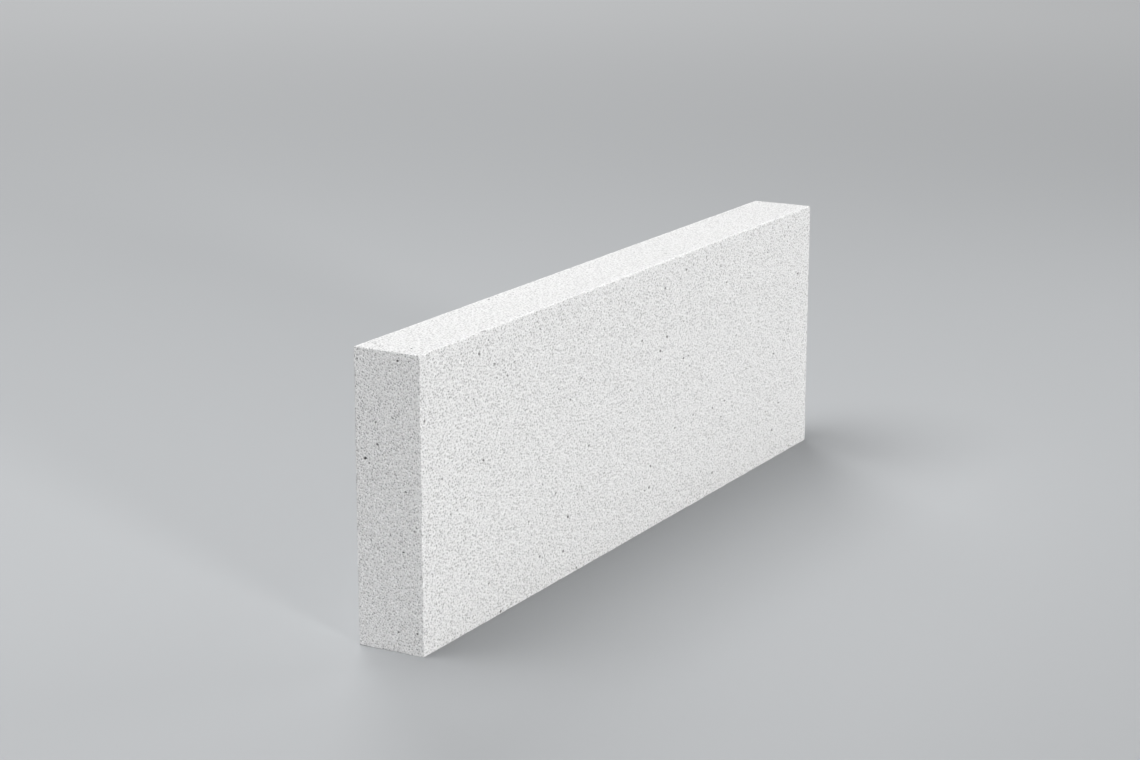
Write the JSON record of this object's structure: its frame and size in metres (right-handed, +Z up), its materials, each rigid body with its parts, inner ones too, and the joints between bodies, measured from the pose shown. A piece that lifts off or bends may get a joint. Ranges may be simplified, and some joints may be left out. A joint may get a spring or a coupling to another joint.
{
  "type": "aerated concrete board",
  "caption": "Plain rectangular board of porous aerated concrete for thin partition walls and linings, standing on its long edge.",
  "frame": {"origin": "centre of the bed face, the long narrow face that the board stands on", "axes": "+X along the length, +Y through the thickness from the front face to the back face, +Z up the height"},
  "size_m": [0.6, 0.05, 0.2],
  "materials": {
    "aerated_concrete": "matte, very light neutral grey, wire-cut with fine open pores"
  },
  "bodies": {
    "root": {"board": "aerated_concrete"}
  },
  "joints": []
}
